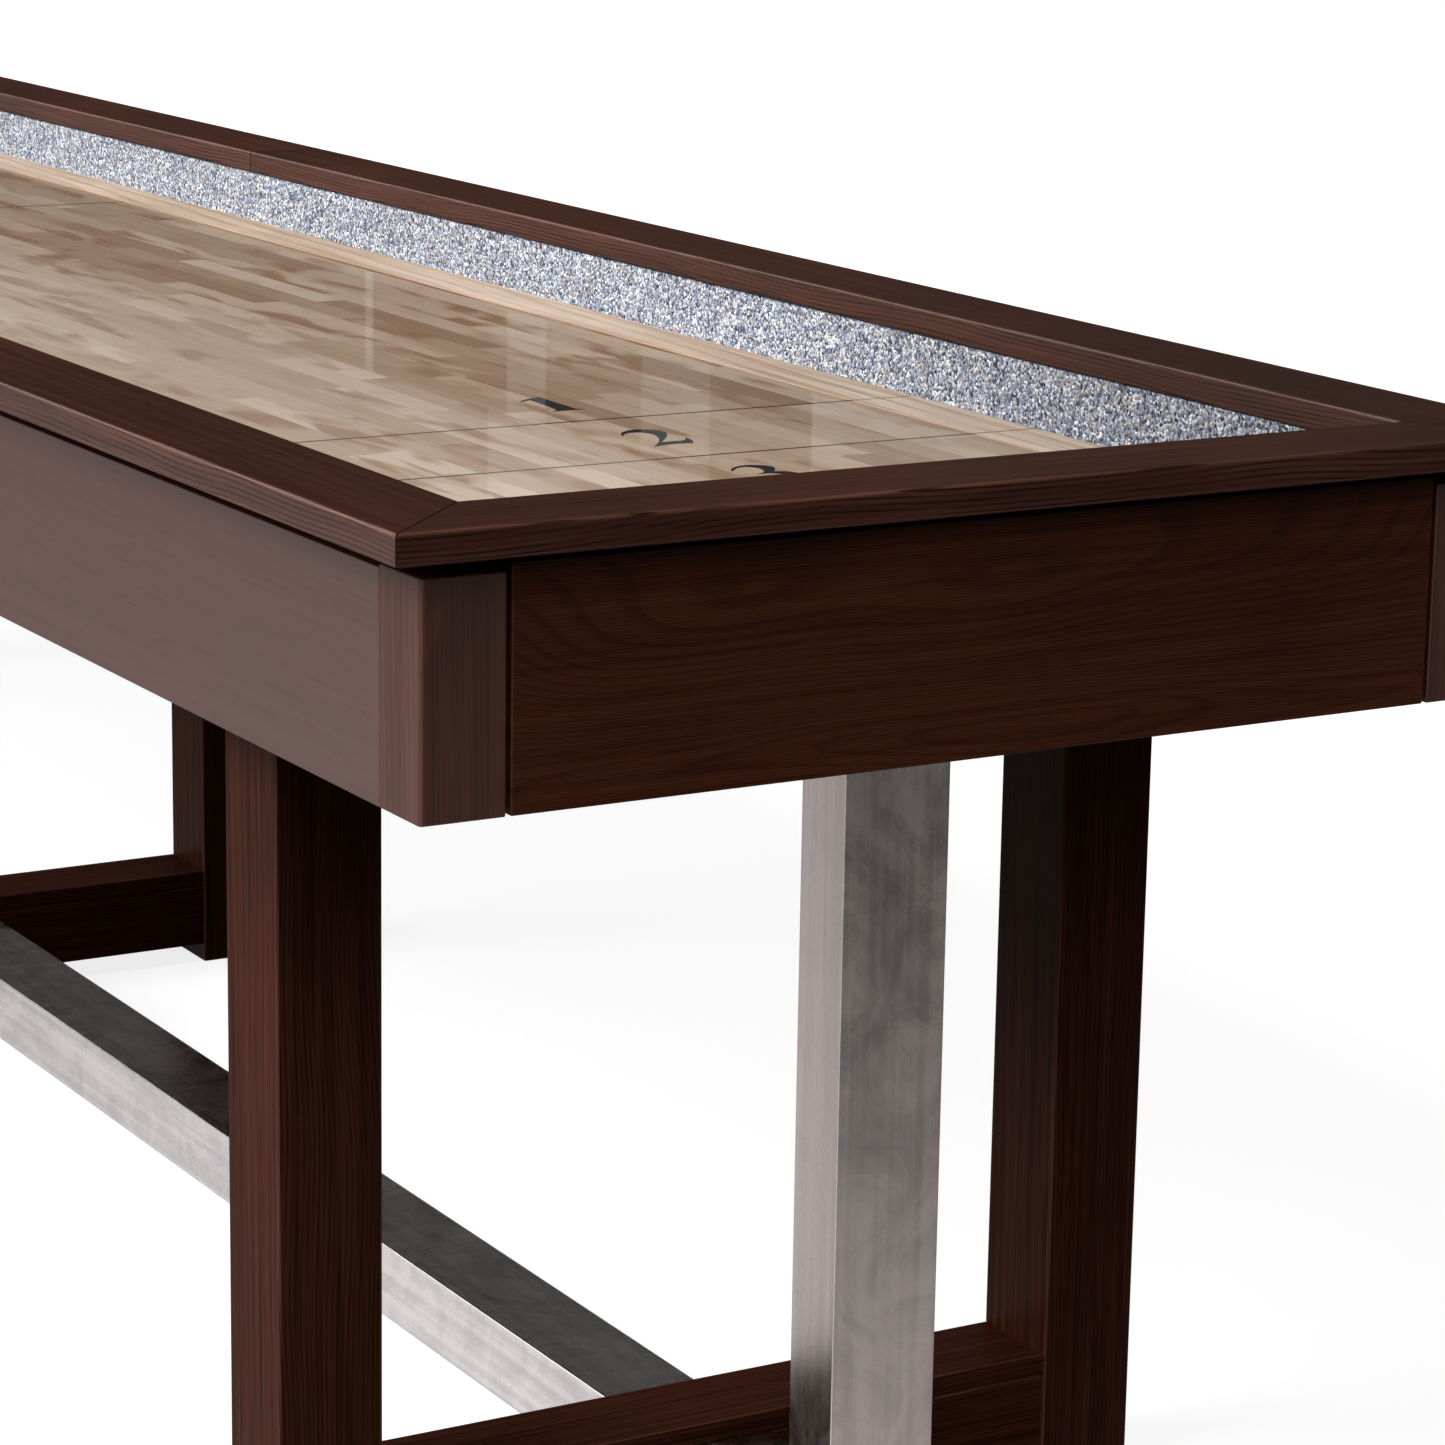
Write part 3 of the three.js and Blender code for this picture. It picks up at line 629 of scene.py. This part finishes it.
def dress_playfield():
    """The glossy staves, their core, a paler strip along the far edge, whose pale colour is painted
    reflection of a light rail in the gloss, and a flush one along the near edge.
    """
    gloss = maple_playfield()
    core = maple_core()
    # Pale maple on the far strip: painted reflection of a light rail in the glossy board.
    pale = wood(
        "maple_edge_X",
        "X",
        (0.42, 0.31, 0.225),
        (0.66, 0.55, 0.45),
        line=(0.62, 0.48, 0.38),
        ring=0.007,
        ring_depth=0.5,
        pore_depth=0.4,
        vein_depth=0.3,
        vein_width=0.007,
        roughness=0.40,
        specular=0.35,
        bump=0.00005,
    )
    # A darker brown on the strips' rounded edges.
    rubbed = wood("maple_edge_X_edge", "X", (0.36, 0.23, 0.14), (0.46, 0.31, 0.20), roughness=0.5)
    near_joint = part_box("playfield_finish")[0][1]
    eased("playfield_finish", [gloss], 0.3 * MM, flush_y=near_joint)
    eased("playfield_core", [core], 0.5 * MM)
    eased("playfield_edge_far", [pale, rubbed], 2.0 * MM)
    eased("playfield_edge_near", [gloss, rubbed], 2.0 * MM, flush_y=near_joint)


# ---------------------------------------------------------------- carpet strips

# The pile's grid and lift, its noise frequencies per metre, and the carpet's thickness and cove.
PILE_STEP = 3.2 * MM
PILE_LIFT = 0.55 * MM
PILE_LUMPS = 310
PILE_SWELLS = 90
CARPET_THICK = 4 * MM
CARPET_BEND = 6 * MM
CARPET_START = 0.2 * MM
BEND_ANGLES = [math.radians(15 * k) for k in range(7)]
FLAP_GAP = 0.3 * MM
FLAP_STEPS = 20


def carpet_profile(inner, face_floor, wall_high, wall_face):
    """(outward, up) points of a strip's face: from the board, over the floor, up the wall."""
    across = wall_face - CARPET_BEND - inner
    count = max(2, round(across / PILE_STEP))
    flat = [(inner + CARPET_START, face_floor)]
    flat += [(inner + across * i / count, face_floor) for i in range(1, count)]
    bend_x, bend_z = wall_face - CARPET_BEND, face_floor + CARPET_BEND
    cove = [(bend_x + CARPET_BEND * math.sin(a), bend_z - CARPET_BEND * math.cos(a)) for a in BEND_ANGLES]
    height = wall_high - face_floor - CARPET_BEND
    rise = max(2, round(height / PILE_STEP))
    return flat + cove + [(wall_face, bend_z + height * i / rise) for i in range(1, rise + 1)]


def carpet_strip(node, outward, run_axis, half_run, material, seed, reach=0.0):
    """One strip of glued carpet: a lumpy pile face over a flat back, turned up the gutter wall.

    Where reach is more than half_run, the wall part alone goes on as far as that at both ends.
    """
    lo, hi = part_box(node)
    out_axis = 1 if run_axis == 0 else 0
    if outward > 0:
        inner, outer = lo[out_axis], hi[out_axis]
    else:
        inner, outer = -hi[out_axis], -lo[out_axis]
    face_floor = lo[2] + CARPET_THICK
    front = carpet_profile(inner, face_floor, hi[2], outer - CARPET_THICK)
    back = [(inner, lo[2]), (outer, lo[2]), (outer, hi[2])]
    steps = round(2 * half_run / PILE_STEP)
    bm = bmesh.new()

    def point(run, out, up):
        place = [0.0, 0.0, up]
        place[run_axis] = run
        place[out_axis] = outward * out
        return bm.verts.new(place)

    def lumps(run, out, up):
        return noise.noise(Vector((run * PILE_LUMPS + seed, out * PILE_LUMPS, up * PILE_LUMPS)))

    def swells(run, out, up):
        return noise.noise(Vector((run * PILE_SWELLS, out * PILE_SWELLS + seed, up * PILE_SWELLS)))

    def closed(loops):
        for first, second in zip(loops, loops[1:]):
            for i in range(len(first)):
                j = (i + 1) % len(first)
                bm.faces.new((first[i], first[j], second[j], second[i]))
        bm.faces.new(loops[0])
        bm.faces.new(loops[-1][::-1])

    rows = []
    for step in range(steps + 1):
        run = -half_run + 2 * half_run * step / steps
        row = []
        for index, (out, up) in enumerate(front):
            lift = PILE_LIFT * (lumps(run, out, up) + 0.5 * swells(run, out, up))
            if index in (0, len(front) - 1) or step in (0, steps):
                lift = 0.0
            on_wall = max(0.0, min(1.0, (up - face_floor) / CARPET_BEND))
            row.append(point(run, out - lift * on_wall, up + lift * (1 - on_wall)))
        row += [point(run, out, up) for out, up in reversed(back)]
        rows.append(row)
    closed(rows)

    if reach > half_run:
        face = outer - CARPET_THICK
        foot = face_floor + FLAP_GAP
        wall = [(face, foot), *((face, up) for _, up in front if up > face_floor + CARPET_BEND)]
        outline = wall + [(outer, hi[2]), (outer, foot)]
        for way in (-1, 1):
            flap = []
            for k in range(FLAP_STEPS + 1):
                run = way * (half_run + (reach - half_run) * k / FLAP_STEPS)
                loop = []
                for i, (out, up) in enumerate(outline):
                    free = 0 < k < FLAP_STEPS and 0 < i < len(wall) - 1
                    loop.append(point(run, out - PILE_LIFT * lumps(run, out, up) * free, up))
                flap.append(loop)
            closed(flap)
    bmesh.ops.recalc_face_normals(bm, faces=bm.faces)
    mesh = bpy.data.meshes.new(f"{node}_pile")
    bm.to_mesh(mesh)
    bm.free()
    for polygon in mesh.polygons:
        polygon.use_smooth = True
    piece = new_piece(f"{node}_look", mesh, material)
    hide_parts(node)
    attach(piece, TABLE)


def lay_carpet():
    """A strip to each gutter; the end strips' wall parts run on past their floors into the corners."""
    pile = carpet_pile()
    for index, (side, sign) in enumerate(SIDES):
        node = f"gutter_carpet_{side}"
        half_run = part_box(node)[1][0]
        carpet_strip(node, sign, 0, half_run, pile, 10.0 * index)
    for index, (end, sign) in enumerate(ENDS):
        node = f"gutter_carpet_{end}_end"
        half_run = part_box(f"gutter_floor_{end}_end")[1][1]
        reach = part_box(node)[1][1]
        carpet_strip(node, sign, 1, half_run, pile, 50.0 + 10.0 * index, reach)


# ---------------------------------------------------------------- lines and numerals

LINE_WIDTH = 2.6 * MM
INLAY_PROUD = 0.1 * MM
INLAY_DEEP = 0.3 * MM
BOARD_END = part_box("playfield_core")[1][0]
BOARD_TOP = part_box("playfield_finish")[1][2]
FIELD_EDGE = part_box("playfield_finish")[1][1]
STRIP_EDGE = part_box("playfield_edge_far")[1][1]
LINE_MARGIN = 2 * MM
STRIP_LINE_SHARE = 0.8
ZONE = 155 * MM
BOARD_INK = (0.003, 0.003, 0.004)
# Faint brown ink for the score lines on the far strip, washed pale by the painted reflection there.
STRIP_INK = (0.16, 0.11, 0.08)


def ink(name, shade, gloss=1.0):
    """Matt black with a slightly uneven cover, under the clear coat where gloss is 1."""
    g = Graph(name)
    cover = g.noise(g.place, 800.0, 3.0)
    colour = g.blend(g.band(cover, 0.35, 0.75), shade, tuple(c * 1.6 + 0.001 for c in shade))
    g.set(Base_Color=colour, Roughness=0.5, Specular_IOR_Level=0.1)
    g.set(Coat_Weight=gloss, Coat_Roughness=0.02, Coat_IOR=1.5)
    return g.material


def inlay(name, outline, material):
    """A thin inlay in the board from a closed outline of (x, y) points."""
    bm = bmesh.new()
    bottom = [bm.verts.new((x, y, BOARD_TOP - INLAY_DEEP)) for x, y in outline]
    top = [bm.verts.new((x, y, BOARD_TOP + INLAY_PROUD)) for x, y in outline]
    bm.faces.new(top)
    bm.faces.new(bottom[::-1])
    for i in range(len(outline)):
        j = (i + 1) % len(outline)
        bm.faces.new((bottom[i], bottom[j], top[j], top[i]))
    bmesh.ops.recalc_face_normals(bm, faces=bm.faces)
    mesh = bpy.data.meshes.new(name)
    bm.to_mesh(mesh)
    bm.free()
    piece = new_piece(name, mesh, material)
    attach(piece, TABLE)


def smooth_run(points, steps=6):
    """A Catmull-Rom curve through the points of one smooth run, without its last point."""
    ends = [2 * Vector(points[0]) - Vector(points[1]), 2 * Vector(points[-1]) - Vector(points[-2])]
    posts = [ends[0], *[Vector(p) for p in points], ends[1]]
    path = []
    for a, b, c, d in zip(posts, posts[1:], posts[2:], posts[3:]):
        for i in range(steps):
            t = i / steps
            bow = (2 * a - 5 * b + 4 * c - d) * t * t + (3 * b - a - 3 * c + d) * t**3
            path.append(tuple((2 * b + (c - a) * t + bow) / 2))
    return path


# Outlines in mm from the middle of the foot: runs of points, smooth within a run, corners between.
NUMERALS = {
    "1": (
        ((8, 61), (7, 40), (6.8, 4)),
        ((6.8, 4), (11, 1.2)),
        ((11, 1.2), (11, 0)),
        ((11, 0), (-13, 0)),
        ((-13, 0), (-13, 1.2)),
        ((-13, 1.2), (-8, 4)),
        ((-8, 4), (-5.5, 30), (-4.8, 50)),
        ((-4.8, 50), (-10, 48), (-16, 44.5)),
        ((-16, 44.5), (-9, 53), (-2, 56.5), (8, 61)),
    ),
    "2": (
        (
            (-20.3, 42.5), (-13.3, 57.5), (0, 65.5), (11.5, 60),
            (14.7, 49), (10, 36.7), (0, 22.5), (-7.5, 13.5),
        ),
        ((-7.5, 13.5), (0, 14), (8.3, 13.3)),
        ((8.3, 13.3), (13, 17.5), (17, 24.5)),
        ((17, 24.5), (15, 12), (10, 1.5)),
        ((10, 1.5), (-2, 4), (-20.8, 0)),
        ((-20.8, 0), (-10, 13), (-1, 29), (2.8, 44), (-1, 53), (-9, 54.5), (-15, 50.5), (-20.3, 42.5)),
    ),
    "3": (
        ((-22.2, 47.7), (-15.8, 58.5), (-3.3, 65.5), (7.5, 61), (11.2, 53.5), (8.3, 45), (3.3, 38.5)),
        ((3.3, 38.5), (11, 34), (14.5, 24), (11.5, 11), (3, 3), (-9, 0), (-20, 2), (-24, 7)),
        ((-24, 7), (-21, 10.5), (-15, 8.5), (-6, 6), (1.5, 12), (4.5, 22), (1, 30), (-5, 33), (-11.7, 33.5)),
        ((-11.7, 33.5), (-4.5, 38), (-1.2, 44), (0, 52), (-4, 59), (-9, 59.5), (-14.2, 56), (-22.2, 47.7)),
    ),
}
# The foot of each numeral, from the end of the board.
NUMERAL_FEET = {"1": 352.8 * MM, "2": 198.1 * MM, "3": 46.3 * MM}


def line_across(x, half, y0, y1):
    """The outline of a line across the board."""
    return [(x - half, y0), (x + half, y0), (x + half, y1), (x - half, y1)]


def mark_board():
    """Two score lines and three numerals at each end, and one line at mid-length."""
    black = ink("board_ink", BOARD_INK)
    # Faint ink for the lines on the far strip: washed pale by the painted reflection there.
    faint = ink("strip_ink", STRIP_INK, gloss=0.3)
    near_edge = -STRIP_EDGE + LINE_MARGIN
    half = LINE_WIDTH / 2
    for end, sign in ENDS:
        for zone in (1, 2):
            x = sign * (BOARD_END - zone * ZONE)
            inlay(f"score_line_{end}_{zone}", line_across(x, half, near_edge, FIELD_EDGE), black)
            strip = line_across(x, half * STRIP_LINE_SHARE, FIELD_EDGE, STRIP_EDGE - LINE_MARGIN)
            inlay(f"score_line_{end}_{zone}_strip", strip, faint)
        for digit, foot in NUMERAL_FEET.items():
            path = [p for run in NUMERALS[digit] for p in smooth_run(run)]
            outline = [(sign * (BOARD_END - foot - v * MM), sign * u * MM) for u, v in path]
            inlay(f"numeral_{digit}_{end}", outline, black)
    inlay("foul_line", line_across(0.0, half, near_edge, FIELD_EDGE), black)


# ---------------------------------------------------------------- stage

FLOOR_RADIUS = 14.0
FLOOR_GREYS = ((0.22, 0.22, 0.22), (0.235, 0.235, 0.235))
FLOOR_GLOW = 0.82
WHITE = (1.0, 1.0, 1.0)


def floor_material():
    g = Graph("pale_floor")
    tone = g.noise(g.place, 3.0, 2.0)
    g.set(Base_Color=g.blend(tone, *FLOOR_GREYS), Roughness=0.9, Specular_IOR_Level=0.1)
    g.set(Emission_Color=WHITE, Emission_Strength=FLOOR_GLOW)
    return g.material


def lay_floor():
    """A pale floor that glows a little, so that it stays near white, and lends the table no light."""
    bm = bmesh.new()
    bmesh.ops.create_circle(bm, cap_ends=True, radius=FLOOR_RADIUS, segments=96)
    mesh = bpy.data.meshes.new("floor")
    bm.to_mesh(mesh)
    bm.free()
    floor = new_piece("floor", mesh, floor_material())
    floor.visible_diffuse = False
    floor.visible_glossy = False


def emissive(name, colour, strength):
    material = bpy.data.materials.new(name)
    material.use_nodes = True
    tree = material.node_tree
    tree.nodes.clear()
    glow = tree.nodes.new("ShaderNodeEmission")
    glow.inputs["Color"].default_value = (*colour, 1.0)
    glow.inputs["Strength"].default_value = strength
    output = tree.nodes.new("ShaderNodeOutputMaterial")
    tree.links.new(glow.outputs[0], output.inputs["Surface"])
    return material


# Each pane: x from and to, z from and to, strength.
PANES = (
    ((-14.0, -8.6), (2.52, 3.1), 0.28),
    ((-8.6, -3.0), (2.52, 3.1), 0.42),
    ((-8.47, -8.21), (1.6, 2.52), 0.17),
    ((-7.60, -7.19), (1.6, 2.52), 0.15),
    ((-6.62, -3.0), (1.2, 2.52), 0.22),
    ((-9.50, -9.44), (1.6, 2.52), 0.22),
    ((-14.0, -9.50), (1.0, 2.52), 0.08),
)
PANE_Y = 5.0
PANE_COLOUR = (1.0, 0.98, 0.95)
FLAG_CORNERS = ((1.10, -0.467, 1.306), (2.18, -0.467, 1.306), (2.18, -0.194, 1.682), (1.10, -0.194, 1.682))


def stage_card(name, corners, colour, strength):
    """A flat four-cornered card beside the table, which the camera doesn't see."""
    mesh = bpy.data.meshes.new(name)
    mesh.from_pydata(corners, [], [(0, 1, 2, 3)])
    card = new_piece(name, mesh, emissive(name, colour, strength))
    card.visible_camera = False
    card.visible_diffuse = False
    return card


def reflected_panes():
    """Pale upright panes far behind the table, met only by reflections in the board and the steel."""
    for index, ((x0, x1), (z0, z1), strength) in enumerate(PANES):
        corners = [(x0, PANE_Y, z0), (x1, PANE_Y, z0), (x1, PANE_Y, z1), (x0, PANE_Y, z1)]
        pane = stage_card(f"pane_{index}", corners, PANE_COLOUR, strength)
        pane.visible_shadow = False


def hang_flag():
    """A small dark card in the key light's way, which softly darkens the far corner at the right end."""
    flag = stage_card("light_flag", FLAG_CORNERS, (0.0, 0.0, 0.0), 0.0)
    flag.visible_glossy = False


# Each sun: name, strength, angle across it in degrees, and the way its light travels.
SUNS = (
    ("key", 6.15, 36.0, (0.10, 0.80, -0.58)),
    ("high", 1.5, 40.0, (-0.74, 0.22, -0.61)),
    ("back", 1.6, 60.0, (0.45, -0.86, -0.22)),
)
FILL_STRENGTH = 0.05

# What reflections see of the room. Each glow is a soft step in the direction's part along Y (north),
# X (east) or Z (height): from, to, first and last strength.
ROOM_GLOSS = 0.042
ROOM_COLOUR = (1.0, 0.985, 0.97)
NEAR_SIDE = (-0.05, -0.42, 0.0, 1.0)
NEAR_HEIGHT = (-0.12, -0.32, 0.37, 0.90)
FRONT_SIDE = (0.1, 0.5, 0.0, 1.0)
FRONT_HEIGHT = (-0.30, -0.46, 0.0, 1.1)
RIM_SIDE = (0.0, -0.12, 0.0, 1.0)
RIM_HEIGHT = (0.29, 0.40, 0.0, 3.0)


def light_studio():
    """Three soft suns (key from the near side, one from the right end, one from behind) and a dim fill.

    The suns don't show in reflections, which see a dim room with three glows instead: the near side,
    brighter low down, low beyond the right end, and a bright rim higher up on the near side. The camera
    sees white.
    """
    for name, energy, softness, travel in SUNS:
        sun = bpy.data.lights.new(name, "SUN")
        sun.energy = energy
        sun.angle = math.radians(softness)
        lamp = bpy.data.objects.new(name, sun)
        lamp.rotation_euler = Vector(travel).to_track_quat("-Z", "Y").to_euler()
        lamp.visible_glossy = False
        bpy.context.scene.collection.objects.link(lamp)

    world = bpy.data.worlds.new("studio")
    bpy.context.scene.world = world
    world.use_nodes = True
    tree = world.node_tree
    tree.nodes.clear()

    def node(kind, **settings):
        made = tree.nodes.new(kind)
        for name, value in settings.items():
            setattr(made, name, value)
        return made

    def ranged(value, start, end, first, last):
        made = node("ShaderNodeMapRange", interpolation_type="SMOOTHSTEP")
        tree.links.new(value, made.inputs["Value"])
        for name, number in (("From Min", start), ("From Max", end), ("To Min", first), ("To Max", last)):
            made.inputs[name].default_value = number
        return made.outputs["Result"]

    def backdrop(strength, colour=ROOM_COLOUR):
        made = node("ShaderNodeBackground")
        made.inputs[0].default_value = (*colour, 1.0)
        if isinstance(strength, bpy.types.NodeSocket):
            tree.links.new(strength, made.inputs[1])
        else:
            made.inputs[1].default_value = strength
        return made.outputs[0]

    def mixed(factor, first, second):
        made = node("ShaderNodeMixShader")
        tree.links.new(factor, made.inputs[0])
        tree.links.new(first, made.inputs[1])
        tree.links.new(second, made.inputs[2])
        return made.outputs[0]

    def maths(operation, first, second):
        made = node("ShaderNodeMath", operation=operation)
        for socket, value in zip(made.inputs, (first, second)):
            if isinstance(value, bpy.types.NodeSocket):
                tree.links.new(value, socket)
            else:
                socket.default_value = value
        return made.outputs[0]

    direction = node("ShaderNodeSeparateXYZ")
    tree.links.new(node("ShaderNodeTexCoord").outputs["Generated"], direction.inputs[0])
    east, north, height = direction.outputs
    near_glow = maths("MULTIPLY", ranged(north, *NEAR_SIDE), ranged(height, *NEAR_HEIGHT))
    front_glow = maths("MULTIPLY", ranged(east, *FRONT_SIDE), ranged(height, *FRONT_HEIGHT))
    rim_glow = maths("MULTIPLY", ranged(north, *RIM_SIDE), ranged(height, *RIM_HEIGHT))
    glows = maths("ADD", maths("ADD", near_glow, front_glow), rim_glow)
    room = maths("ADD", glows, ROOM_GLOSS)
    rays = node("ShaderNodeLightPath").outputs
    lit = mixed(rays["Is Glossy Ray"], backdrop(FILL_STRENGTH), backdrop(room))
    final = mixed(rays["Is Camera Ray"], lit, backdrop(1.0, WHITE))
    output = node("ShaderNodeOutputWorld")
    tree.links.new(final, output.inputs[0])


# Place in metres, angles in degrees and focal length in mm, from the camera fitted to the photo.
CAMERA_PLACE = (3.9467, -1.4383, 1.2337)
CAMERA_TURN = 59.74
CAMERA_DOWN = 13.09
CAMERA_ROLL = 0.95
CAMERA_LENS = 111.54
CAMERA_SENSOR = 36.0


def place_camera():
    """The photo's point of view: above the near side, beyond the right-hand end."""
    turn, down, roll = (math.radians(a) for a in (CAMERA_TURN, CAMERA_DOWN, CAMERA_ROLL))
    ahead = Vector((-math.sin(turn) * math.cos(down), math.cos(turn) * math.cos(down), -math.sin(down)))
    level = Vector((math.cos(turn), math.sin(turn), 0.0))
    upright = level.cross(ahead)
    right = level * math.cos(roll) + upright * math.sin(roll)
    up = upright * math.cos(roll) - level * math.sin(roll)
    lens = bpy.data.cameras.new("camera")
    lens.lens = CAMERA_LENS
    lens.sensor_width = CAMERA_SENSOR
    lens.clip_start = 0.05
    lens.clip_end = 60.0
    camera = bpy.data.objects.new("camera", lens)
    turned = Matrix((right, up, -ahead)).transposed().to_4x4()
    camera.matrix_world = Matrix.Translation(CAMERA_PLACE) @ turned
    bpy.context.scene.collection.objects.link(camera)
    bpy.context.scene.camera = camera


# ---------------------------------------------------------------- assembly

bpy.context.scene.view_settings.view_transform = "Standard"
place_camera()
light_studio()
reflected_panes()
hang_flag()
lay_floor()
dress_timber()
dress_inside()
dress_steel()
dress_playfield()
lay_carpet()
mark_board()
